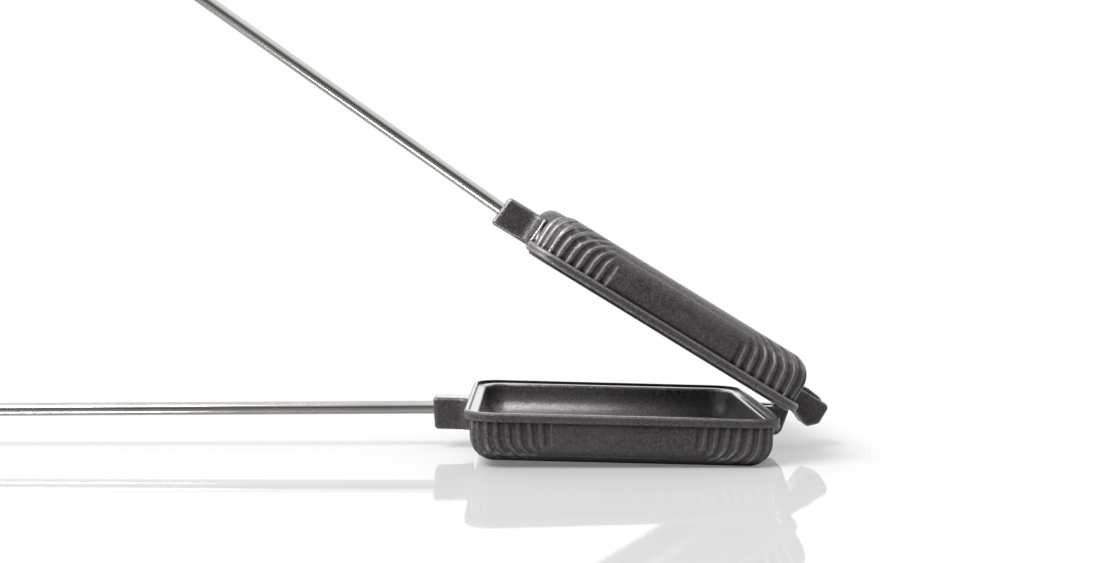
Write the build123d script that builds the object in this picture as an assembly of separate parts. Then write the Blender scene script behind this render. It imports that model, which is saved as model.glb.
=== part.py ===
"""Camp pie iron: two cast-iron half shells hinged at the tip, each on a long steel rod
with a turned wooden grip, and a swinging hook that latches the two grips together.

The halves are drawn closed, in the base half's own axes: the parting plane is z = 0, the
handles leave towards -X and the hinge is at the +X end. The lid is then opened about the
hinge pin, and the whole is tipped and moved to the pose in which it lies on a table:
z = 0 is the table, and the origin lies under the middle of the whole.
"""
import os
from math import atan2, cos, degrees, hypot, pi, radians, sin, sqrt, tan

from build123d import *

os.makedirs("parts", exist_ok=True)

# ---- Driving dimensions, mm and degrees ---------------------------------------------
rim_side = 108.0            # outside of the square rim
rim_corner = 11.0           # plan radius of the rim's corners
half_depth = 17.2           # parting plane to flat back, each half
flange_height = 3.1         # thickness of the rim flange
flange_overhang = 1.9       # how far the flange stands out past the wall
flange_bevel = 0.6          # worn edges of the flange
wall_draft = 1.5            # degrees, for lifting the pattern out of the sand
back_round = 8.3            # rounding between wall and flat back
cavity_margin = 4.7         # outside of the rim to the edge of the hollow
cavity_corner = 8.0         # plan radius of the hollow's corners
cavity_depth = 13.2         # parting plane to the hollow's floor
cavity_draft = 4.0          # degrees
cavity_round = 6.6          # rounding between the hollow's wall and floor
cavity_lip_round = 1.2      # rounding of the hollow's mouth

bead_width = 1.5            # raised outer bead round the base's rim
bead_height = 0.9           # bead above the land inside it
bead_bevel = 0.35           # edges of the bead and of the lid's lip
closed_gap = 0.3            # left between the halves when shut, all round the rim

flute_pitch = 3.8           # spacing of the flutes along the walls
flute_radius = 1.9          # section of each flute, cut with this many flats
flute_flats = 8
flute_depth = 0.8           # how deep a flute cuts the wall
corner_flutes = 4           # round each corner, evenly about its diagonal
side_flutes = 5             # onward from them along each side
flute_swerve = 58.0         # degrees a side flute turns from square as it rounds the back edge
flute_drift = 0.6           # how far it leans that way on the wall itself
longest_flute = 78.0        # degrees round the back edge, at the corner
shortest_flute = 20.0       # degrees round the back edge, furthest from the corner
flute_steps = 4             # straight runs that follow the back edge

socket_width = 13.0         # block that takes the rod
socket_height = 11.8
socket_top = 0.8            # parting plane to the block's face
base_socket_length = 13.3   # out from the rim
lid_socket_length = 15.4
shoulder_radius = 14.0      # rounded shoulder behind the lid's block, in plan
shoulder_beyond = 1.6       # how far it stands past the rim's end
shoulder_round = 5.5        # its edge into the back
socket_draft = 5.0          # degrees
socket_round = 1.3
socket_flare = 4.0          # radius of the fillets into the rim

pin_radius = 1.6            # steel hinge pin
pin_beyond = 4.3            # pin axis past the rim's end
pin_drop = 8.2              # pin axis below the parting plane
pin_head_radius = 2.5
pin_head_height = 0.9
head_crown = 0.6            # share of a rivet's or screw's head that is bevelled
running_clearance = 0.05    # radial, wherever a pin or rod passes through a hole
hinge_width = 13.0          # over both ears
tongue_width = 5.0          # lid's tongue, between the ears
hinge_side_gap = 0.35       # tongue to ear, each side
ear_boss_radius = 3.4
ear_nose_radius = 1.5
ear_nose_beyond = 8.2       # nose circle's centre past the rim's end
ear_top = 1.1               # ears' top below the parting plane
tongue_boss_radius = 3.2
lug_length = 18.7           # lid's lug past the rim's end
lug_top = 8.8               # above the parting plane
lug_bottom = 1.9            # below the parting plane at its nose
lug_corner = 2.6            # rounding at the top of its nose
lug_edge = 1.8              # and at its heel
lug_nose_low = 2.4          # where the nose starts to turn under, above the parting plane
lug_heel_back = 4.4         # and the heel's centre, back from the nose's end
lug_root_round = 1.0        # corners of its root, inside the rim
lug_plan_round = 2.4        # its nose's corners, seen from above
lug_crown = 1.5             # raised rib along the lug's middle
lug_crown_width = 5.0
crown_peak = 4.4            # its highest point, beyond the pin
crown_round = 2.4
crown_fall = 0.5            # how far it drops by the nose
crown_inset = 0.3           # how far it sinks into the nose
tongue_round = 1.2          # tongue's root, inside the lug
tongue_back = 2.2           # how far the root lies behind the pin
tongue_front = 0.4          # and beyond it
swing_gap = 0.4             # lug to ears, as the lid swings
hook_mouth = 3.5            # opening that lets the tongue off the pin

rod_radius = 2.4
rod_drop = 5.2              # lower rod's axis below the parting plane at its block's end
rod_rise = 7.2              # upper rod's axis above it
base_splay = 1.7            # degrees, lower rod away from the parting plane
lid_splay = 3.7             # degrees, upper rod
rod_engagement = 12.0       # length screwed into the block
rod_bevel = 0.4             # at both ends
handle_start = 507.0        # castings' centre to the ferrules' noses, when shut

handle_length = 122.0       # ferrule's nose to the butt of the grip
ferrule_nose = 4.5          # length of the ferrule's tapered nose
ferrule_nose_radius = 5.6
ferrule_wall = 0.9
ferrule_gap = 0.1           # between the ferrule and the wood
spigot_radius = 8.0         # wood turned down to enter the ferrule
spigot_end = 15.5           # ferrule's nose to the grip's shoulder
neck_radius = 9.6           # at the shoulder
belly = 0.46 * handle_length    # ferrule's nose to the belly
belly_radius = 12.7
waist = 0.74 * handle_length
waist_radius = 11.2
butt = 0.91 * handle_length     # and to the butt's fullest
butt_radius = 12.2
end_radius = 8.4            # flat on the grip's end
groove_width = 0.9          # turned lines behind the ferrule
groove_floor = 9.6          # radius left in them
groove_first = 21.0
groove_spacing = 3.6
groove_count = 2

washer_radius = 6.6
washer_thickness = 1.0
nut_flats = 8.0             # across flats
nut_hex_height = 4.2
nut_bevel = 0.35            # corners taken off the hexagon
nut_dome_radius = 3.7
nut_depth = 5.0             # rod inside the nut
seat_gap = 0.05             # between faces that bear on each other

latch_thickness = 2.0
latch_width = 6.2           # of the hook's shank
latch_eye_radius = 5.4
latch_head_radius = 8.6
latch_tail = 17.0           # finger tail past the catch
latch_tail_side = 5.0       # how far it leans towards the castings
latch_tail_radius = 3.1
latch_gap = 0.3             # hook to whatever is beside it
latch_mouth = 20.0          # degrees of arc cut for the notch
latch_round = 1.0           # where its outlines meet
screw_radius = 2.0
screw_head_radius = 4.3
screw_head_height = 2.4
screw_depth = 7.5           # into the wood
screw_slot = 0.9            # driver slot
collar_radius = 4.5         # washer or collar on the wood
collar_thickness = 1.1
seat_depth = 0.9            # spot face cut into the grip's belly
latch_fold = 180.0          # degrees from latched to folded back

lid_open_angle = 30.0       # degrees, as it lies on the table

# ---- Worked out from them -----------------------------------------------------------
rim_half = rim_side / 2
wall_side = rim_side - 2 * flange_overhang
wall_half = wall_side / 2
wall_corner = rim_corner - flange_overhang
cavity_side = rim_side - 2 * cavity_margin
round_centre_z = -(half_depth - back_round)
pin_x = rim_half + pin_beyond
pin_z = -pin_drop
ear_reach = hypot(ear_nose_beyond - pin_beyond, pin_drop - ear_top - ear_nose_radius) + ear_nose_radius
lug_relief = ear_reach + swing_gap
rod_hole = rod_radius + running_clearance
hook_inner = belly_radius - seat_depth + seat_gap + collar_thickness + latch_gap
hook_outer = hook_inner + latch_thickness
OVER = 1.0                  # how far a cutter runs past what it cuts

DOWN = (0, 0, -1)


def at_level(shape, z):
    """The edges of a shape that lie wholly at height z."""
    return [e for e in shape.edges() if abs(e.bounding_box().min.Z - z) < 1e-4
            and abs(e.bounding_box().max.Z - z) < 1e-4]


def prism(side, corner, top, depth, draft=0.0):
    """A rounded square prism going down from z = top, narrowing by the draft."""
    outline = Pos(0, 0, top) * RectangleRounded(side, side, corner)
    return extrude(outline, amount=depth, dir=DOWN, taper=draft)


# ---- Castings -----------------------------------------------------------------------
def nearest_wall(spot, inset):
    """The nearest point to a plan spot on the wall's outline drawn in by an inset, with
    its outward direction; for the quarter towards +X and +Y."""
    centre = wall_half - wall_corner
    away = Vector(max(spot.X - centre, 0), max(spot.Y - centre, 0))
    if away.length < 1e-6:
        away = Vector(1, 0) if spot.X > spot.Y else Vector(0, 1)
    outward = away.normalized()
    core = Vector(min(spot.X, centre), min(spot.Y, centre))
    return core + outward * (wall_corner - inset), outward


def flute(along, reach):
    """One flute's cutter: up the wall, then over the back edge until it runs out, swerving
    away from the corner. along is its distance round the wall from the corner's diagonal."""
    quarter_arc = wall_corner * pi / 4
    side = min(max(along / quarter_arc, -1), 1)
    turn_centre = wall_half - wall_corner
    bearing = radians(45 + 45 * side)
    start = Vector(turn_centre, turn_centre) + Vector(cos(bearing), sin(bearing)) * wall_corner
    tangent = Vector(-sin(bearing), cos(bearing))
    inward = Vector(-cos(bearing), -sin(bearing))
    start += tangent * (along - side * quarter_arc)
    swerve = tan(radians(flute_swerve * side))
    stand_off = flute_radius * cos(pi / flute_flats) - flute_depth
    path = []
    for step in range(-1, flute_steps + 1):
        angle = radians(reach * max(step, 0) / flute_steps)
        inset = back_round * (1 - cos(angle))
        height = round_centre_z - back_round * sin(angle)
        shift = swerve * inset
        if step < 0:
            height = -flange_height + OVER
            shift = -flute_drift * side
        spot, outward = nearest_wall(start + inward * inset + tangent * shift, inset)
        lift = stand_off + flute_depth * (max(step, 0) / flute_steps)**2
        path.append(spot + outward * (lift * cos(angle)) + Vector(0, 0, height - lift * sin(angle)))
    line = Polyline(*path)
    section = Plane(origin=path[0], x_dir=outward, z_dir=path[1] - path[0]) * RegularPolygon(
        flute_radius, flute_flats, rotation=180 / flute_flats)
    return sweep(section, path=line, transition=Transition.RIGHT)


def corner_fan():
    """The flute cutters of one corner, the one towards +X and +Y."""
    cutters = []
    count = corner_flutes + 2 * side_flutes
    for i in range(count):
        place = i - (count - 1) / 2
        beyond = max(abs(place) - (corner_flutes - 1) / 2, 0) / side_flutes
        reach = longest_flute - (longest_flute - shortest_flute) * beyond**2
        cutters.append(flute(place * flute_pitch, reach))
    return cutters


def half_shell():
    """What the two halves share, lying below the parting plane, without its hollow."""
    wall = prism(wall_side, wall_corner, 0, half_depth, wall_draft)
    wall = fillet(at_level(wall, -half_depth), back_round)
    flange = prism(rim_side, rim_corner, 0, flange_height)
    flange = chamfer(at_level(flange, 0) + at_level(flange, -flange_height), flange_bevel)
    cutters = []
    for quarter in range(4):
        cutters += [Rot(0, 0, 90 * quarter) * cutter for cutter in corner_fan()]
    return (wall - cutters) + flange


def hollow(top):
    """The cutter of the cooking hollow, open upwards from z = top."""
    bowl = prism(cavity_side, cavity_corner, 0, cavity_depth, cavity_draft)
    bowl = fillet(at_level(bowl, -cavity_depth), cavity_round)
    return bowl + prism(cavity_side, cavity_corner, top, top)


def socket_block(length):
    """The block that takes the rod, flared into the rim, below the parting plane."""
    half = socket_width / 2
    root = -rim_half + cavity_margin / 2
    tip = -rim_half - length
    flare = socket_flare
    with BuildSketch(Plane.XY.offset(-socket_top)) as plan:
        with BuildLine():
            Polyline((root, half + flare), (-rim_half, half + flare))
            TangentArc((-rim_half, half + flare), (-rim_half - flare, half), tangent=(0, -1))
            Polyline((-rim_half - flare, half), (tip, half), (tip, -half), (-rim_half - flare, -half))
            TangentArc((-rim_half - flare, -half), (-rim_half, -half - flare), tangent=(1, 0))
            Polyline((-rim_half, -half - flare), (root, -half - flare), (root, half + flare))
        make_face()
    block = extrude(plan.sketch, amount=socket_height, dir=DOWN, taper=socket_draft)
    rounded = [e for e in block.edges() if e.center().X < -rim_half - flare]
    return fillet(rounded, socket_round)


def lid_shoulder():
    """The rounded shoulder that carries the lid's block up into its flat back."""
    post = Pos(-rim_half - shoulder_beyond + shoulder_radius, 0, -half_depth) * Cylinder(
        shoulder_radius, half_depth - flange_height / 2, align=(Align.CENTER, Align.CENTER, Align.MIN))
    return fillet(at_level(post, -half_depth), shoulder_round)


def circle_at(x, z, radius):
    """A disc in the hinge's side view, x past the rim's end and z above the parting."""
    return Plane.XZ * (Pos(rim_half + x, z) * Circle(radius))


def side_hull(*circles):
    """The outline stretched round some circles of the side view."""
    edges = []
    for x, z, radius in circles:
        edges += (Pos(rim_half + x, z) * Circle(radius)).edges()
    return Plane.XZ * make_hull(edges)


def across(face, low, high):
    """A side-view face given thickness from y = low to y = high."""
    return Pos(0, high, 0) * extrude(face, amount=high - low, dir=(0, -1, 0))


def ear(low, high):
    """One ear of the base's hinge, with its boss round the pin."""
    root = -flange_overhang - cavity_margin / 4
    outline = side_hull(
        (pin_beyond, -pin_drop, ear_boss_radius),
        (ear_nose_beyond, -ear_top - ear_nose_radius, ear_nose_radius),
        (root, -ear_top - ear_nose_radius, ear_nose_radius),
        (root, -pin_drop - ear_boss_radius, ear_nose_radius))
    hole = circle_at(pin_beyond, -pin_drop, pin_radius + running_clearance)
    return across(outline - hole, low, high)


def lid_lug():
    """The lid's lug and its hooked tongue, in the lid's closed place."""
    root = -cavity_margin / 2
    half = hinge_width / 2
    upper_root = (root, lug_top - lug_root_round, lug_root_round)
    lower_root = (root, closed_gap + lug_root_round, lug_root_round)
    underside = (pin_beyond + 2 * lug_root_round, closed_gap + 2 * lug_root_round, lug_root_round)
    upper_nose = (lug_length - lug_corner, lug_top - lug_corner, lug_corner)
    lower_nose = (lug_length - lug_edge, lug_nose_low, lug_edge)
    heel = (lug_length - lug_heel_back, lug_edge - lug_bottom, lug_edge)
    outline = side_hull(upper_root, lower_root, upper_nose, lower_nose)
    outline += side_hull(underside, upper_nose, lower_nose, heel)
    plan = Pos(rim_half, 0, -lug_length) * RectangleRounded(2 * lug_length, hinge_width, lug_plan_round)
    lug = across(outline - circle_at(pin_beyond, -pin_drop, lug_relief), -half, half)
    lug &= extrude(plan, amount=2 * lug_length)
    crown_nose = (lug_length - lug_corner, lug_top - lug_corner - 2 * crown_fall, lug_corner - crown_inset)
    lug += across(side_hull(
        upper_root, (pin_beyond + crown_peak, lug_top + lug_crown - crown_round, crown_round),
        (lug_length - 2 * lug_corner, lug_top + lug_crown - lug_corner - crown_fall, lug_corner),
        crown_nose), -lug_crown_width / 2, lug_crown_width / 2)
    tongue = side_hull(
        (pin_beyond, -pin_drop, tongue_boss_radius),
        (pin_beyond - tongue_back, 2 * lug_root_round, tongue_round),
        (pin_beyond + tongue_front, 2 * lug_root_round, tongue_round))
    tongue -= circle_at(pin_beyond, -pin_drop, pin_radius + running_clearance)
    tongue -= Plane.XZ * (Pos(rim_half + pin_beyond + tongue_boss_radius, -pin_drop)
                          * Rectangle(2 * tongue_boss_radius, hook_mouth))
    return lug + across(tongue, -tongue_width / 2, tongue_width / 2)


def rod_exit(side):
    """Where a rod's axis leaves its block, and its splay, when the iron is shut."""
    if side == "lower":
        return Vector(-rim_half - base_socket_length, 0, -rod_drop), -base_splay
    return Vector(-rim_half - lid_socket_length, 0, closed_gap + rod_rise), lid_splay


def nose_distance(side):
    """Distance along a rod from its block to its ferrule's nose."""
    exit_point, splay = rod_exit(side)
    return (handle_start + exit_point.X) / cos(radians(splay))


def on_rod(side, shape, start=0.0):
    """A shape drawn along +X, moved onto a rod with its origin at a distance from the block."""
    exit_point, splay = rod_exit(side)
    return Location(exit_point) * Rot(0, 180 + splay, 0) * Pos(start, 0, 0) * shape


def on_handle(side, shape):
    """A shape drawn along +X from the ferrule's nose, moved onto a handle."""
    return on_rod(side, shape, nose_distance(side))


def belly_point(side):
    """The middle of a grip's belly, when the iron is shut."""
    return on_handle(side, Vertex(belly, 0, 0)).center()


def bar(start, length, radius):
    """A round bar along +X."""
    return extrude(Plane.YZ.offset(start) * Circle(radius), amount=length)


def tube(start, length, outer, inner):
    """A round tube along +X."""
    return bar(start, length, outer) - bar(start - OVER, length + 2 * OVER, inner)


def rod_cutter(side):
    """The hole for a rod in its block."""
    depth = rod_engagement + seat_gap
    return on_rod(side, bar(-depth, depth + 5 * OVER, rod_hole))


def base_casting():
    """The lower half: bead round the rim, ears at the hinge end, block for the rod."""
    half = half_shell() + socket_block(base_socket_length)
    ear_inner = tongue_width / 2 + hinge_side_gap
    half += ear(ear_inner, hinge_width / 2)
    half += ear(-hinge_width / 2, -ear_inner)
    land = prism(rim_side - 2 * bead_width, rim_corner - bead_width, 0, bead_height)
    half -= land + hollow(OVER)
    mouth = [e for e in at_level(half, -bead_height)
             if max(abs(e.center().X), abs(e.center().Y)) < cavity_side / 2 + 0.01]
    half = fillet(mouth, cavity_lip_round)
    return half - rod_cutter("lower")


def lid_lip():
    """The lid's inner lip, which drops inside the base's bead; it is set back further
    at the hinge end, so that it swings clear of the bead there."""
    inset = bead_width + closed_gap
    drop = pin_drop - bead_height + closed_gap
    reach = pin_beyond + inset
    hinge_inset = sqrt(reach**2 + pin_drop**2 - drop**2) - pin_beyond
    width = rim_side - 2 * inset
    shift = hinge_inset - inset
    outline = Pos(-shift / 2, 0, 0) * RectangleRounded(width - shift, width, rim_corner - inset)
    lip = extrude(outline, amount=bead_height)
    return chamfer(at_level(lip, bead_height), bead_bevel)


def lid_casting():
    """The upper half, in its closed place."""
    half = half_shell() + lid_shoulder() + socket_block(lid_socket_length) + lid_lip()
    half -= hollow(bead_height + OVER)
    mouth = [e for e in at_level(half, bead_height)
             if max(abs(e.center().X), abs(e.center().Y)) < cavity_side / 2 + 0.01]
    half = chamfer(mouth, bead_bevel)
    half = Pos(0, 0, closed_gap) * mirror(half, about=Plane.XY)
    return half + lid_lug() - rod_cutter("upper")


# ---- Hinge pin, rods and grips ------------------------------------------------------
def hinge_pin():
    """A riveted pin through both ears, with a domed head outside each."""
    face = hinge_width / 2 + seat_gap
    pin = across(circle_at(pin_beyond, pin_z, pin_radius), -face, face)
    for low, high in ((face, face + pin_head_height), (-face - pin_head_height, -face)):
        head = across(circle_at(pin_beyond, pin_z, pin_head_radius), low, high)
        outer = [e for e in head.edges().filter_by(GeomType.CIRCLE) if abs(e.center().Y) > face + seat_gap]
        pin += chamfer(outer, pin_head_height * head_crown)
    return pin


def rod(side):
    """A straight steel rod from its block, through the grip and into the end nut."""
    end = nose_distance(side) + handle_length + washer_thickness + nut_depth + 2 * seat_gap
    steel = bar(-rod_engagement, rod_engagement + end, rod_radius)
    return on_rod(side, chamfer(steel.edges().filter_by(GeomType.CIRCLE), rod_bevel))


def sway(start, end):
    """Two equal arcs between two points, level at both."""
    middle = ((start[0] + end[0]) / 2, (start[1] + end[1]) / 2)
    TangentArc(start, middle, tangent=(1, 0))
    TangentArc(end, middle, tangent=(-1, 0))


def grip(side):
    """A turned grip: spigot, shoulder, full belly, slight waist and rounded butt."""
    with BuildSketch() as section:
        with BuildLine():
            start = ferrule_nose + ferrule_gap
            Polyline((start, rod_hole), (start, spigot_radius), (spigot_end + ferrule_gap, spigot_radius),
                     (spigot_end + ferrule_gap, neck_radius))
            TangentArc((belly, belly_radius), (spigot_end + ferrule_gap, neck_radius), tangent=(-1, 0))
            sway((belly, belly_radius), (waist, waist_radius))
            sway((waist, waist_radius), (butt, butt_radius))
            TangentArc((butt, butt_radius), (handle_length, end_radius), tangent=(1, 0))
            Polyline((handle_length, end_radius), (handle_length, rod_hole), (start, rod_hole))
        make_face()
    body = revolve(section.sketch, axis=Axis.X)
    for i in range(groove_count):
        along = groove_first + i * groove_spacing
        cutter = Pos(along, belly_radius) * Rectangle(groove_width, 2 * (belly_radius - groove_floor))
        body -= revolve(cutter, axis=Axis.X)
    seat = belly_radius - seat_depth
    body -= across_belly(collar_radius + OVER, seat, belly_radius + OVER)
    body -= across_belly(screw_radius + running_clearance, seat - screw_depth - seat_gap, belly_radius)
    return on_handle(side, body)


def across_belly(radius, low, high):
    """A round bar square to the handle at its belly, towards -Y from y = -low to -high."""
    return Pos(belly, -low, 0) * extrude(Plane.XZ * Circle(radius), amount=high - low)


def ferrule(side):
    """A spun steel cup over the grip's spigot, tapering to the rod."""
    outer = spigot_radius + ferrule_gap + ferrule_wall
    inner = spigot_radius + ferrule_gap
    with BuildSketch() as section:
        with BuildLine():
            Polyline((0, rod_hole), (0, ferrule_nose_radius), (ferrule_nose / 3, outer - ferrule_wall),
                     (ferrule_nose, outer), (spigot_end, outer), (spigot_end, inner),
                     (ferrule_nose, inner), (ferrule_nose - ferrule_wall, inner - ferrule_wall),
                     (ferrule_nose - ferrule_wall, rod_hole), (0, rod_hole))
        make_face()
    return on_handle(side, revolve(section.sketch, axis=Axis.X))


def end_washer(side):
    """The washer between the grip's butt and its nut."""
    return on_handle(side, tube(handle_length + seat_gap, washer_thickness, washer_radius, rod_hole))


def end_nut(side):
    """The domed nut that holds a grip on its rod."""
    start = handle_length + washer_thickness + 2 * seat_gap
    hexagon = Plane.YZ.offset(start) * RegularPolygon(nut_flats / 2, 6, major_radius=False)
    top = start + nut_hex_height
    body = extrude(hexagon, amount=nut_hex_height) & bevelled_disc(start, top)
    body += Pos(top, 0, 0) * Sphere(nut_dome_radius)
    return on_handle(side, body - bar(start - OVER, nut_depth + seat_gap + OVER, rod_hole))


def bevelled_disc(start, top):
    """A disc with bevelled rims, which takes the corners off the nut's hexagon."""
    corner = nut_flats / sqrt(3)
    disc = bar(start, top - start, corner)
    return chamfer(disc.edges().filter_by(GeomType.CIRCLE), nut_bevel)


# ---- Latch --------------------------------------------------------------------------
def screw(side, collar):
    """A slotted round-head screw in a grip's belly; the catch has a collar of its own."""
    seat = belly_radius - seat_depth
    under_head = hook_outer + latch_gap
    body = across_belly(screw_radius, seat - screw_depth, under_head)
    if collar:
        body += across_belly(collar_radius, seat + seat_gap, seat + seat_gap + collar_thickness)
    head = across_belly(screw_head_radius, under_head, under_head + screw_head_height)
    crown = [e for e in head.edges().filter_by(GeomType.CIRCLE) if e.center().Y < -under_head - OVER]
    body += chamfer(crown, screw_head_height * (1 - head_crown), screw_head_height * head_crown)
    slot_y = -under_head - screw_head_height
    body -= Pos(belly, slot_y, 0) * Box(2 * screw_head_radius, 2 * screw_slot, screw_slot)
    return on_handle(side, body)


def latch_washer():
    """The washer on the upper grip's belly, under the hook's eye."""
    seat = belly_radius - seat_depth
    ring = across_belly(collar_radius, seat + seat_gap, seat + seat_gap + collar_thickness)
    ring -= across_belly(screw_radius + running_clearance, seat, belly_radius + OVER)
    return on_handle("upper", ring)


def latch_hook():
    """The hook, with its eye at the origin and its catch straight below."""
    reach = (belly_point("upper") - belly_point("lower")).length
    shank = Pos(0, -reach / 2) * Rectangle(latch_width, reach)
    eye = Circle(latch_eye_radius)
    tail_end = Pos(latch_tail_side, -reach - latch_tail)
    head_edges = (Pos(0, -reach) * Circle(latch_head_radius)).edges()
    tail = make_hull(head_edges + (tail_end * Circle(latch_tail_radius)).edges())
    notch_width = 2 * (screw_radius + latch_gap)
    notch = SlotArc(CenterArc((0, 0), reach, -90 - latch_mouth, latch_mouth), notch_width)
    outline = shank + eye + tail - notch
    outline = fillet([v for v in outline.vertices() if abs(v.Y) < reach - notch_width
                      or v.X < -notch_width], latch_round)
    outline -= Circle(screw_radius + running_clearance)
    return Pos(0, -hook_inner, 0) * extrude(Plane.XZ * outline, amount=latch_thickness)


# ---- Assembly -----------------------------------------------------------------------
def built_closed():
    """Every piece by the body it belongs to, with the iron shut."""
    base = {
        "base_casting": base_casting(),
        "hinge_pin": hinge_pin(),
        "lower_rod": rod("lower"),
        "lower_grip": grip("lower"),
        "lower_ferrule": ferrule("lower"),
        "lower_end_washer": end_washer("lower"),
        "lower_end_nut": end_nut("lower"),
        "latch_catch_screw": screw("lower", collar=True),
    }
    lid = {
        "lid_casting": lid_casting(),
        "upper_rod": rod("upper"),
        "upper_grip": grip("upper"),
        "upper_ferrule": ferrule("upper"),
        "upper_end_washer": end_washer("upper"),
        "upper_end_nut": end_nut("upper"),
        "latch_pivot_screw": screw("upper", collar=False),
        "latch_washer": latch_washer(),
    }
    return base, lid


def about(point, angle):
    """The turn about an axis along +Y through a point; positive lifts the -X side."""
    return Location(point) * Rot(0, angle, 0) * Location(Vector(point) * -1)


hinge_point = Vector(pin_x, 0, pin_z)
base_pieces, lid_pieces = built_closed()

# The lower grip's belly and the base's far bottom edge both touch the table.
edge_in = half_depth * tan(radians(wall_draft)) + back_round * tan(radians(90 - wall_draft) / 2)
edge_centre = Vector(wall_half - edge_in, 0, round_centre_z)
tip_angle = 0.0
for _ in range(4):
    grip_low = (Rot(0, tip_angle, 0) * base_pieces["lower_grip"]).bounding_box().min.Z
    base_low = edge_centre.rotate(Axis.Y, tip_angle).Z - back_round
    tip_angle += degrees((base_low - grip_low) / (handle_start + belly))
tip = Rot(0, tip_angle, 0)
opening = about(hinge_point, lid_open_angle)

hook = latch_hook()
hang_angle = degrees(atan2(hook.center(CenterOf.MASS).X, -hook.center(CenterOf.MASS).Z))
latch_point = (tip * opening * Vertex(*belly_point("upper"))).center()
catch_point = (tip * Vertex(*belly_point("lower"))).center()
shut_latch_point = (tip * Vertex(*belly_point("upper"))).center()
drop = catch_point - shut_latch_point
# How far the hook swings from hanging free, with the lid down, to sit on the catch.
latched_angle = degrees(atan2(-drop.X, -drop.Z)) + lid_open_angle - hang_angle

placed = {name: tip * piece for name, piece in base_pieces.items()}
placed |= {name: tip * opening * piece for name, piece in lid_pieces.items()}
placed["latch_hook"] = Location(latch_point) * Rot(0, hang_angle, 0) * hook

low_x = placed["lower_end_nut"].bounding_box().min.X
high_x = placed["lid_casting"].bounding_box().max.X
low_z = edge_centre.rotate(Axis.Y, tip_angle).Z - back_round
home = Pos(-(low_x + high_x) / 2, 0, -low_z)
for name, piece in placed.items():
    export_step(home * piece, f"parts/{name}.step")
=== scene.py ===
from math import cos, radians, sin

import bpy
from mathutils import Matrix, Vector


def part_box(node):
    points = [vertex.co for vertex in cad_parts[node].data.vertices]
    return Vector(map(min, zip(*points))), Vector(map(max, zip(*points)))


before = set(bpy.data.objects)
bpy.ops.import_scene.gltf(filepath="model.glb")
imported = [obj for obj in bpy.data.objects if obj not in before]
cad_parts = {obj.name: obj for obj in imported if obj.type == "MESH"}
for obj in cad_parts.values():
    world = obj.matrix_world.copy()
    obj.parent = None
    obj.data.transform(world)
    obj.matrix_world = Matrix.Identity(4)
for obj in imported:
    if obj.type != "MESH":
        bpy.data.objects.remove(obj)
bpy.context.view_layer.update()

# ---- Camera ----------------------------------------------------------------------------
# Fitted to the photograph in the base half's own axes, then tipped as that half lies.
TIP = radians(1.4556687)                    # the base half's lean on the table
HOME = Vector((0.280023, 0, 0.0183038))     # the base half's centre, in the frame
FIT_PLACE = Vector((-0.03249, -0.52038, 0.06026))
PITCH, YAW, ROLL = radians(1.942), radians(0.797), radians(1.5)
FOCAL_WIDTHS = 1403.6 / 1100                # the focal length, in widths of the picture
SENSOR_WIDTH = 36                           # millimetres
NEAREST = 0.01


def tip(v, angle=TIP):
    """A direction in a half's own axes, turned into the frame's."""
    return Vector((v.x * cos(angle) + v.z * sin(angle), v.y, -v.x * sin(angle) + v.z * cos(angle)))


forward = Vector((sin(YAW) * cos(PITCH), cos(YAW) * cos(PITCH), -sin(PITCH)))
right = Vector((cos(YAW), -sin(YAW), 0))
up = right.cross(forward)
right, up = cos(ROLL) * right + sin(ROLL) * up, -sin(ROLL) * right + cos(ROLL) * up
camera_data = bpy.data.cameras.new("camera")
camera_data.sensor_width = SENSOR_WIDTH
camera_data.lens = SENSOR_WIDTH * FOCAL_WIDTHS
camera_data.clip_start = NEAREST
camera = bpy.data.objects.new("camera", camera_data)
bpy.context.scene.collection.objects.link(camera)
axes = Matrix([tip(right), tip(up), -tip(forward)]).transposed()
camera.matrix_world = Matrix.Translation(tip(FIT_PLACE) + HOME) @ axes.to_4x4()
bpy.context.scene.camera = camera
bpy.context.scene.view_settings.view_transform = "Standard"


# ---- Making nodes ----------------------------------------------------------------------
MIX_FIRST, MIX_SECOND, MIX_RESULT = 6, 7, 2     # the colour sockets of a Mix node


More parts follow.
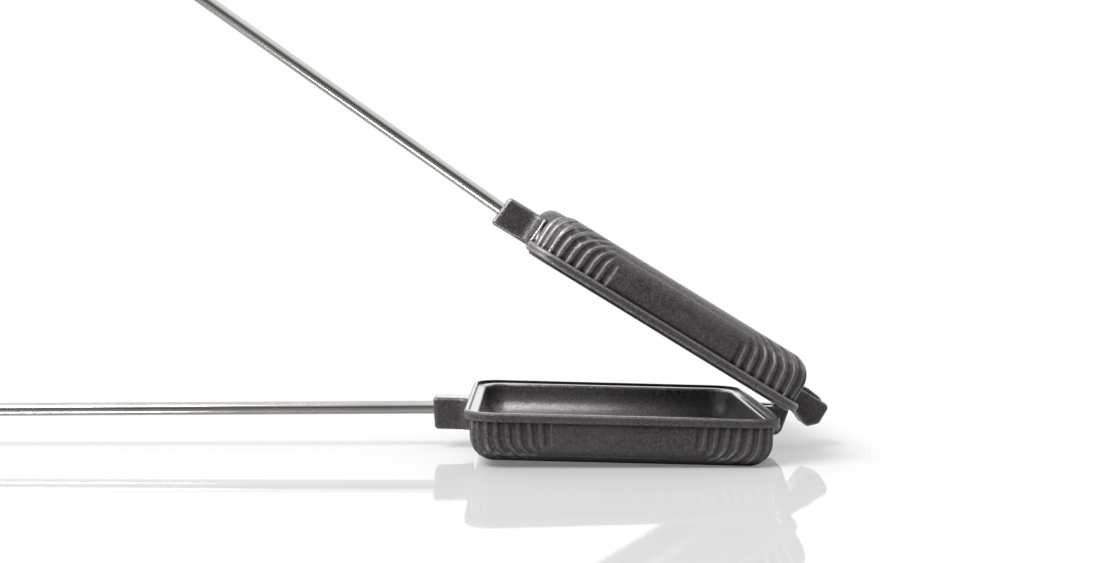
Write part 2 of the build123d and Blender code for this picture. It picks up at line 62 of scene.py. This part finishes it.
class Nodes:
    """Makes the nodes of a material or of the world in short calls."""

    def __init__(self, owner, output="OutputMaterial"):
        owner.use_nodes = True
        self.owner = owner
        self.tree = owner.node_tree
        self.tree.nodes.clear()
        self.output = self.add(output)

    def fill(self, socket, value):
        """An input socket linked to another node's output, or set to a value."""
        if isinstance(value, bpy.types.NodeSocket):
            self.tree.links.new(value, socket)
        else:
            socket.default_value = value

    def add(self, kind, settings=None, **inputs):
        """A node of a kind. Its inputs go by name, or by number as i0, i1 and so on."""
        node = self.tree.nodes.new("ShaderNode" + kind)
        for key, value in (settings or {}).items():
            setattr(node, key, value)
        for key, value in inputs.items():
            numbered = key[0] == "i" and key[1:].isdigit()
            self.fill(node.inputs[int(key[1:]) if numbered else key.replace("_", " ")], value)
        return node

    def finish(self, shader):
        """The owner, showing a shader."""
        self.fill(self.output.inputs["Surface"], shader)
        return self.owner

    def place(self):
        """The shaded point, in the object's own coordinates."""
        return self.add("TexCoord").outputs["Object"]

    def from_point(self, point):
        """The way from a point to the shaded one."""
        node = self.add("VectorMath", {"operation": "SUBTRACT"}, i0=self.place(), i1=point)
        return node.outputs["Vector"]

    def dot(self, a, b):
        return self.add("VectorMath", {"operation": "DOT_PRODUCT"}, i0=a, i1=b).outputs["Value"]

    def math(self, operation, a, b=0.0):
        return self.add("Math", {"operation": operation}, i0=a, i1=b).outputs["Value"]

    def times(self, value, *others):
        """Values multiplied together."""
        for other in others:
            value = self.math("MULTIPLY", value, other)
        return value

    def most(self, value, *others):
        """The greatest of some values."""
        for other in others:
            value = self.math("MAXIMUM", value, other)
        return value

    def span(self, value, low, high, to_low=0.0, to_high=1.0):
        """A value's range low..high mapped to another range and held at its ends."""
        node = self.add("MapRange", {"clamp": True}, Value=value)
        ends = {"From Min": low, "From Max": high, "To Min": to_low, "To Max": to_high}
        for key, number in ends.items():
            node.inputs[key].default_value = number
        return node.outputs["Result"]

    def noise(self, scale, detail, roughness, vector=None):
        """Noise from 0 to 1, at a scale per metre."""
        return self.add("TexNoise", Vector=vector or self.place(), Scale=scale, Detail=detail,
                        Roughness=roughness).outputs["Fac"]

    def ramp(self, value, *stops):
        """Colours at places from 0 to 1."""
        node = self.add("ValToRGB", Fac=value)
        points = node.color_ramp.elements
        while len(points) < len(stops):
            points.new(1.0)
        for point, (place, colour) in zip(points, stops):
            point.position = place
            point.color = (*colour, 1)
        return node.outputs["Color"]

    def mix(self, factor, first, second, blend="MIX"):
        """One colour over another."""
        node = self.add("Mix", {"data_type": "RGBA", "blend_type": blend}, Factor=factor)
        for number, colour in ((MIX_FIRST, first), (MIX_SECOND, second)):
            self.fill(node.inputs[number], (*colour, 1) if isinstance(colour, tuple) else colour)
        return node.outputs[MIX_RESULT]

    def bump(self, height, distance, strength, normal=None):
        node = self.add("Bump", Height=height, Distance=distance, Strength=strength)
        if normal is not None:
            self.fill(node.inputs["Normal"], normal)
        return node.outputs["Normal"]


# ---- Cast iron -------------------------------------------------------------------------
# Lengths are in metres and in a half's own axes.
RIM_HALF, RIM_CORNER = 0.054, 0.011         # the rim's outline: half its side, corner radius
RIM_EDGE, WALL_EDGE = 0.0003, 0.0013        # the radii that sharp edges seem to have
CREVICE, CREST = 0.0015, 0.0013             # how far to look for hollows and for ridges
LOOKS_AROUND = 8                            # samples for those and for the edges

# Noise, as its scale per metre, detail and roughness, and the bumps it makes.
PITS, GRAIN = (1150, 4.0, 0.65), (2300, 2.0, 0.6)
WAVES, CLOUDS = (80, 3.0, 0.5), (26, 5.0, 0.6)
SCORES = {"Scale": 560.0, "Distortion": 5.0, "Detail": 3.0}
PIT_HEIGHT, GRAIN_HEIGHT = 0.00035, 0.00008
WAVE_HEIGHT, WAVE_STRENGTH = 0.0005, 0.3
CAST_STRENGTH, GROUND_STRENGTH = 0.6, 0.1   # the cast texture fades where it is ground off

# Where a mask begins and ends, by depth from the parting plane.
EDGE_ROUNDS = 0.0032, 0.0040                # past the rim's flange
LAND_DEPTH = 0.0011, 0.0014
MOUTH_DEPTH = 0.0012, 0.0022
FOOT_DEPTH = 0.0012, 0.0016
EDGE_DEPTH = 0.0012, 0.0034
HOLLOW_TOP, HOLLOW_FLOOR = (0.0012, 0.0020), (0.0150, 0.0140)
POLISH_AND_GLOW_DEPTH = 0.0045, 0.0105
# where the painted shade low on the outside begins and is complete
LOW_SHADE_DEPTH = 0.0105, 0.0165
# By distance inside the rim's outline.
FOOT_OUTER, FOOT_INNER = (0.0013, 0.0015), (0.0018, 0.0020)
MOUTH_INSIDE = 0.0030, 0.0036
HOLLOW_INSIDE = 0.0040, 0.0046
# By length from the castings' centre toward the hinge, and by distance from the scored point.
# where the painted highlight on the lid's crests at the handle end fades out
HIGHLIGHT_LENGTH = -0.046, -0.012
# where the hollow's painted glow fades toward the hinge
GLOW_FADE_LENGTH = 0.0, 0.040
SCORED_REACH = 0.004, 0.010
# By how squarely a face looks out of the half, by ambient occlusion and by noise.
LEVEL = 0.90, 0.97
CREST_SHARP, CREST_PAINTED_HIGHLIGHT = (0.90, 0.60), (0.97, 0.72)
PITTED, PITTED_EVEN, PITTED_LIGHT = (0.35, 0.60), (0.35, 0.65), (0.42, 0.64)
SCORED = 0.60, 0.95
CLOUDED = 0.3, 0.7

# How bright each kind of wear and painted highlight is, and what is left of it between the pits.
GROUND_AND_HIGHLIGHT_BRIGHT, FOOT_BRIGHT, SCORED_BRIGHT = 0.9, 0.1, 0.4
RIM_WEAR_AND_HIGHLIGHT, RIM_PAINTED_HIGHLIGHT, WALL_WEAR_AND_HIGHLIGHT, HAND_END_HIGHLIGHT = 0.3, 0.5, 0.45, 0.75
PITS_IN_WEAR_AND_HIGHLIGHT, PITS_IN_POLISH_AND_GLOW = 0.6, 0.55
# how much of the hollow's painted glow is left at the hinge
GLOW_AT_HINGE = 0.2
# How open to the air a crevice is where its painted shade begins, and where it is complete.
CREVICE_BEGINS, CREVICE_FULL, CREVICE_SHADE_ON_LID, CREVICE_PAINTED_SHADE = 0.98, 0.6, 0.16, 0.85
HOLLOW_TINT, LIGHT_TINT = 0.5, 0.75
# Roughness, and what wear, grinding and the painted low shade do to it.
PIT_ROUGHNESS, CLOUD_ROUGHNESS = (0.28, 0.38), (-0.03, 0.05)
WEAR_AND_HIGHLIGHT_SMOOTHER, GROUND_SMOOTHER, LOW_SHADE_ROUGHER = 0.10, 0.12, 0.25
# The skin is half metallic, and wholly so where its wear, painted highlights and painted glow are
# this strong.
# Its coat of seasoning thins to the second value where its painted shade is this dark.
SKIN_METAL, BARE_METAL = 0.5, 0.6
COAT, COAT_IN_DARK, COAT_GONE, COAT_ROUGHNESS = 0.5, 0.05, 0.8, 0.18

SKIN = ((0.3, (0.062, 0.054, 0.057)), (0.5, (0.084, 0.073, 0.077)), (0.7, (0.112, 0.098, 0.103)))
HOLLOW_SKIN = (0.070, 0.065, 0.067)
SKIN_LIGHT = (0.165, 0.150, 0.155)
# polish with a painted glow on it
POLISH_AND_GLOW = (0.52, 0.50, 0.50)
# painted shade
PAINTED_SHADE_BLACK = (0.008, 0.007, 0.007)
# burnish with painted highlights on it
BURNISH_AND_HIGHLIGHT = (0.75, 0.735, 0.73)


def inside_rim(n, length, width):
    """How far inside the rim's rounded square a point stands, seen from above."""
    straight = RIM_HALF - RIM_CORNER
    beyond = [n.most(n.math("SUBTRACT", n.math("ABSOLUTE", v), straight), 0.0)
              for v in (length, width)]
    squares = [n.math("POWER", v, 2.0) for v in beyond]
    return n.math("SUBTRACT", RIM_CORNER, n.math("SQRT", n.math("ADD", *squares)))


def scored_rings(n, point):
    """Fine rings that a grinding disc left round a point."""
    away = n.from_point(point)
    reach = n.add("VectorMath", {"operation": "LENGTH"}, i0=away).outputs["Value"]
    rings = n.add("TexWave", {"wave_type": "RINGS", "rings_direction": "SPHERICAL"}, Vector=away,
                  **SCORES).outputs["Fac"]
    return n.times(n.span(rings, *SCORED, 0.0, SCORED_BRIGHT),
                   n.span(reach, *SCORED_REACH, 1.0, 0.0))


def cast_iron(name, inward, parting, centre, along, scored_at, low_shade, painted_light):
    """Seasoned cast iron: nearly black, satin and grained, its rim and sharp edges burnished
    and painted with highlights, its hollow polished by use and painted with a glow, and its
    crevices and low outside painted with shade.

    inward points from the half's parting plane, which stands at parting on it, to the half's
    back, and along points from the handle to the hinge. The last two arguments set the painted
    shade that blackens the back, and the painted highlights on the rim's edges and on the crests
    at the handle's end, with deeper painted shade in the crevices.
    """
    n = Nodes(bpy.data.materials.new(name))
    depth = n.math("SUBTRACT", n.dot(n.place(), inward), parting)
    facing = n.dot(n.add("NewGeometry").outputs["True Normal"], -inward)
    from_centre = n.from_point(centre)
    length = n.dot(from_centre, along)
    inside = inside_rim(n, length, n.add("SeparateXYZ", Vector=from_centre).outputs["Y"])
    radius = n.span(depth, *EDGE_ROUNDS, RIM_EDGE, WALL_EDGE)
    soft = n.add("Bevel", {"samples": LOOKS_AROUND}, Radius=radius).outputs["Normal"]
    open_air = n.add("AmbientOcclusion", {"samples": LOOKS_AROUND}, Distance=CREVICE).outputs["AO"]
    ridge = n.add("AmbientOcclusion", {"samples": LOOKS_AROUND, "inside": True},
                  Distance=CREST).outputs["AO"]
    pits, grain, waves, cloud = (n.noise(*kind) for kind in (PITS, GRAIN, WAVES, CLOUDS))

    # Ground bright and painted with a highlight: the land and the bead's top, and the hollow's
    # rounded mouth.
    land = n.times(n.span(depth, *LAND_DEPTH, 1.0, 0.0), n.span(facing, *LEVEL))
    mouth_highlight = n.times(n.span(inside, *MOUTH_INSIDE), n.span(depth, *MOUTH_DEPTH, 1.0, 0.0))
    ground_and_highlight = n.most(land, mouth_highlight)
    # A painted shade line in the crease at the bead's foot.
    foot = n.times(n.span(inside, *FOOT_OUTER), n.span(inside, *FOOT_INNER, 1.0, 0.0),
                   n.span(depth, *FOOT_DEPTH, 1.0, 0.0))
    # Worn bright and painted with highlights: crests everywhere, and a painted highlight on the
    # crests at the lid's handle end.
    rim_wear_and_highlight = RIM_WEAR_AND_HIGHLIGHT + RIM_PAINTED_HIGHLIGHT * painted_light
    edge = n.times(n.span(ridge, *CREST_SHARP), n.span(pits, *PITTED, PITS_IN_WEAR_AND_HIGHLIGHT, 1.0),
                   n.span(depth, *EDGE_DEPTH, rim_wear_and_highlight, WALL_WEAR_AND_HIGHLIGHT))
    hand_end_highlight = n.times(n.span(ridge, *CREST_PAINTED_HIGHLIGHT),
                      n.span(length, *HIGHLIGHT_LENGTH, HAND_END_HIGHLIGHT * painted_light, 0.0))
    wear_and_highlight = n.times(n.most(edge, hand_end_highlight, n.times(ground_and_highlight, GROUND_AND_HIGHLIGHT_BRIGHT)),
                   n.span(foot, 0.0, 1.0, 1.0, FOOT_BRIGHT))
    wear_and_highlight = n.most(wear_and_highlight, scored_rings(n, scored_at))
    # The hollow: darker down its wall, polished round its bottom, and painted there with a glow
    # that is brightest at the handle's end and fades toward the hinge, where the open lid shades
    # it.
    hollow = n.times(n.span(inside, *HOLLOW_INSIDE), n.span(depth, *HOLLOW_TOP),
                     n.span(depth, *HOLLOW_FLOOR))
    polish_and_glow = n.times(hollow, n.span(depth, *POLISH_AND_GLOW_DEPTH),
                     n.span(pits, *PITTED_EVEN, PITS_IN_POLISH_AND_GLOW, 1.0),
                     n.span(length, *GLOW_FADE_LENGTH, 1.0, GLOW_AT_HINGE))
    # Black: painted shade in the crevices and in the crease at the bead's foot, and painted shade
    # low on the outside.
    # Painted shade low on the outside, darker toward the bottom of the base.
    painted_low_shade = n.times(n.span(depth, *LOW_SHADE_DEPTH, 0.0, low_shade), n.math("SUBTRACT", 1.0, hollow))
    crevice_full = CREVICE_FULL + CREVICE_SHADE_ON_LID * painted_light
    painted_dark = n.most(n.span(open_air, CREVICE_BEGINS, crevice_full, 0.0, CREVICE_PAINTED_SHADE), foot, painted_low_shade)

    colour = n.mix(n.times(hollow, HOLLOW_TINT), n.ramp(cloud, *SKIN), HOLLOW_SKIN)
    colour = n.mix(n.span(pits, *PITTED_LIGHT, 0.0, LIGHT_TINT), colour, SKIN_LIGHT)
    # The hollow's polish, with a painted glow on it.
    colour = n.mix(polish_and_glow, colour, POLISH_AND_GLOW)
    # Painted shade in the crevices, at the bead's foot and low on the outside.
    colour = n.mix(painted_dark, colour, PAINTED_SHADE_BLACK)
    # Burnish, with painted highlights on the rim's edges, the crests and the lid's handle end.
    colour = n.mix(wear_and_highlight, colour, BURNISH_AND_HIGHLIGHT)
    rough = n.math("ADD", n.span(pits, *PITTED_EVEN, *PIT_ROUGHNESS),
                   n.span(cloud, *CLOUDED, *CLOUD_ROUGHNESS))
    smoother = n.math("ADD", n.times(wear_and_highlight, WEAR_AND_HIGHLIGHT_SMOOTHER), n.times(ground_and_highlight, GROUND_SMOOTHER))
    rough = n.math("ADD", n.math("SUBTRACT", rough, smoother), n.times(painted_low_shade, LOW_SHADE_ROUGHER))
    cast = n.span(ground_and_highlight, 0.0, 1.0, CAST_STRENGTH, GROUND_STRENGTH)
    normal = n.bump(waves, WAVE_HEIGHT, WAVE_STRENGTH, soft)
    normal = n.bump(pits, PIT_HEIGHT, cast, normal)
    normal = n.bump(grain, GRAIN_HEIGHT, cast, normal)
    metal = n.span(n.most(wear_and_highlight, polish_and_glow), 0.0, BARE_METAL, SKIN_METAL, 1.0)
    coat = n.span(painted_dark, 0.0, COAT_GONE, COAT, COAT_IN_DARK)
    shader = n.add("BsdfPrincipled", Base_Color=colour, Roughness=rough, Normal=normal,
                   Metallic=metal, Coat_Weight=coat, Coat_Roughness=COAT_ROUGHNESS)
    return n.finish(shader.outputs["BSDF"])


# ---- Steel and wood --------------------------------------------------------------------
STEEL_EDGE, STEEL_LOOKS = 0.0003, 4         # the radius its edges seem to have, and samples
LINES, STAINS = (900, 3.0, 0.6), (38, 4.0, 0.6)
STAINED, PLAIN, STAIN_TINT = 0.35, 0.6, 0.86
LINES_ROUGHER, LINES_STRENGTH = 0.03, 0.4

GRAIN_RUN = (0.12, 1, 0.6)                  # the grain is drawn out along X, and some along Z
WARP, PORES = (60, 3.0, 0.5), (1400, 2.0, 0.6)
RINGS = {"Scale": 110.0, "Distortion": 5.0, "Detail": 3.0}
RING_SHARE, WARP_SHARE = 0.5, 0.5
PORED, PORE_TINT = (0.55, 0.7), 0.5
PORE_HEIGHT, PORE_STRENGTH = 0.00005, 0.4
TONES, TONE_ROUGHNESS, OIL = (0.2, 0.8), (0.42, 0.3), 0.25
WOOD = ((0.2, (0.25, 0.125, 0.05)), (0.5, (0.40, 0.215, 0.095)), (0.8, (0.52, 0.30, 0.145)))
PORE_STAIN = (0.45, 0.32, 0.22)


def steel(name, colour, smoothest, roughest, lines_depth):
    """Plated steel with faint drawn lines and cloudy stains."""
    n = Nodes(bpy.data.materials.new(name))
    lines, stain = n.noise(*LINES), n.noise(*STAINS)
    tint = n.ramp(stain, (STAINED, tuple(c * STAIN_TINT for c in colour)), (PLAIN, colour))
    rough = n.math("ADD", n.span(stain, *CLOUDED, smoothest, roughest),
                   n.span(lines, *CLOUDED, 0.0, LINES_ROUGHER))
    soft = n.add("Bevel", {"samples": STEEL_LOOKS}, Radius=STEEL_EDGE).outputs["Normal"]
    shader = n.add("BsdfPrincipled", Base_Color=tint, Roughness=rough, Metallic=1.0,
                   Normal=n.bump(lines, lines_depth, LINES_STRENGTH, soft))
    return n.finish(shader.outputs["BSDF"])


def wood(name):
    """Oiled hardwood with its grain along the grip."""
    n = Nodes(bpy.data.materials.new(name))
    mapped = n.add("Mapping", Vector=n.place(), Scale=GRAIN_RUN).outputs["Vector"]
    warp, pores = n.noise(*WARP, mapped), n.noise(*PORES, mapped)
    rings = n.add("TexWave", {"wave_type": "BANDS", "bands_direction": "Y"}, Vector=mapped,
                  **RINGS).outputs["Fac"]
    tone = n.math("ADD", n.times(rings, RING_SHARE), n.times(warp, WARP_SHARE))
    pored = n.span(pores, *PORED, 0.0, PORE_TINT)
    colour = n.mix(pored, n.ramp(tone, *WOOD), PORE_STAIN, "MULTIPLY")
    rough = n.span(tone, *TONES, *TONE_ROUGHNESS)
    shader = n.add("BsdfPrincipled", Base_Color=colour, Roughness=rough,
                   Normal=n.bump(pores, PORE_HEIGHT, PORE_STRENGTH), Coat_Weight=OIL)
    return n.finish(shader.outputs["BSDF"])


# ---- Each piece's material -------------------------------------------------------------
PIN_PLACE = Vector((0.0583, 0, -0.0082))    # the hinge pin's axis, in a half's own axes
SHUT_GAP = 0.0003                           # between the two parting planes when shut
LID_OPEN = radians(30)
low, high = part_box("hinge_pin")
hinge_place = (Vector(low) + Vector(high)) / 2


def in_frame(v, angle):
    """A point of a half that is turned by an angle, in the frame."""
    return hinge_place + tip(v - PIN_PLACE, angle)


def iron_of_half(name, angle, back, parting, scored_at, low_shade, painted_light):
    """Cast iron laid out on a half. back is 1 where its back is upward and -1 where downward."""
    inward = back * tip(Vector((0, 0, 1)), angle)
    return cast_iron(name, inward, inward.dot(in_frame(Vector((0, 0, parting)), angle)),
                     in_frame(Vector(), angle), tip(Vector((1, 0, 0)), angle),
                     in_frame(Vector(scored_at), angle), low_shade, painted_light)


looks = {
    "base_casting": iron_of_half("cast_iron_base", TIP, -1, 0.0, (-0.057, -0.017, -0.004),
                                 low_shade=0.7, painted_light=0.0),
    "lid_casting": iron_of_half("cast_iron_lid", TIP + LID_OPEN, 1, SHUT_GAP,
                                (-0.056, -0.017, 0.005), low_shade=0.0, painted_light=1.0),
    "rod": steel("rod_steel", (0.68, 0.66, 0.64), 0.07, 0.13, 0.000002),
    "grip": wood("grip_wood"),
}
plain_steel = steel("plain_steel", (0.62, 0.61, 0.595), 0.22, 0.36, 0.00001)
for name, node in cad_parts.items():
    look = looks.get(name) or looks.get(name.rsplit("_", 1)[-1], plain_steel)
    node.data.materials.clear()
    node.data.materials.append(look)

# ---- Table, world and light ------------------------------------------------------------
WHITE = (1, 1, 1, 1)
TABLE_SIZE = 8
TABLE_SEEN, TABLE_BOUNCED = (0.75, 0.75, 0.75), (0.32, 0.32, 0.32)
TABLE_LIFT = 0.24                           # added to the table so that it is seen as white
MIRROR_SHARE, MIRROR_ROUGHNESS = 0.29, 0.03
FILM_HEIGHT = 0.0001                        # of a clear film, which marks the rays that pass it
FILM_PASSES, MIRROR_DEPTH = 1.5, 2.5        # the table's mirror rays have more and less
BRIGHT_WAY = (-0.35, 1.0, 0.9)              # above and behind the object
DIM, BRIGHT = (-0.6, 0.11), (0.3, 1.0)      # two places along that way, each with its glow
AMBIENT = 0.62                              # how much of the glow rays find that aren't glossy
KEY_WAY = Vector((0.46, 0.50, -0.74))
KEY_ANGLE, KEY_STRENGTH = radians(30), 2.2


def table_material():
    """A white table that keeps the shadow and a pale mirror image of what lies on it."""
    n = Nodes(bpy.data.materials.new("table_white"))
    seen = n.add("LightPath").outputs["Is Camera Ray"]
    shade = n.add("BsdfDiffuse", Color=n.mix(seen, TABLE_BOUNCED, TABLE_SEEN)).outputs["BSDF"]
    lift = n.add("Emission", Color=WHITE, Strength=n.times(seen, TABLE_LIFT)).outputs["Emission"]
    lifted = n.add("AddShader", i0=shade, i1=lift).outputs["Shader"]
    mirror = n.add("BsdfGlossy", Color=WHITE, Roughness=MIRROR_ROUGHNESS).outputs["BSDF"]
    return n.finish(n.add("MixShader", Fac=MIRROR_SHARE, i1=lifted, i2=mirror).outputs["Shader"])


def film_material():
    n = Nodes(bpy.data.materials.new("clear_film"))
    return n.finish(n.add("BsdfTransparent").outputs["BSDF"])


def studio():
    """White to the camera; for the object, bright above and behind and dark on the camera's
    side."""
    n = Nodes(bpy.data.worlds.new("studio"), "OutputWorld")
    way = n.add("TexCoord").outputs["Generated"]
    glow = n.span(n.dot(way, BRIGHT_WAY), DIM[0], BRIGHT[0], DIM[1], BRIGHT[1])
    light = n.add("LightPath")
    mirrored = light.outputs["Is Glossy Ray"]
    on_object = n.times(glow, n.span(mirrored, 0.0, 1.0, AMBIENT, 1.0))
    # The table's own mirror rays, which have crossed the film twice, find white all round.
    from_table = n.times(n.math("GREATER_THAN", light.outputs["Transparent Depth"], FILM_PASSES),
                         n.math("LESS_THAN", light.outputs["Ray Depth"], MIRROR_DEPTH), mirrored)
    strength = n.most(on_object, from_table, light.outputs["Is Camera Ray"])
    return n.finish(n.add("Background", Color=WHITE, Strength=strength).outputs["Background"])


def plane(name, height, material):
    """A level plane under the object."""
    bpy.ops.mesh.primitive_plane_add(size=TABLE_SIZE, location=(0, 0, height))
    made = bpy.context.object
    made.name = name
    made.data.materials.append(material)
    return made


table = plane("table", 0, table_material())
film = plane("table_film", FILM_HEIGHT, film_material())
bpy.context.scene.world = studio()

lamp_data = bpy.data.lights.new("key", "SUN")
lamp_data.angle = KEY_ANGLE
lamp_data.energy = KEY_STRENGTH
lamp = bpy.data.objects.new("key", lamp_data)
lamp.rotation_euler = KEY_WAY.to_track_quat("-Z", "Y").to_euler()
bpy.context.scene.collection.objects.link(lamp)
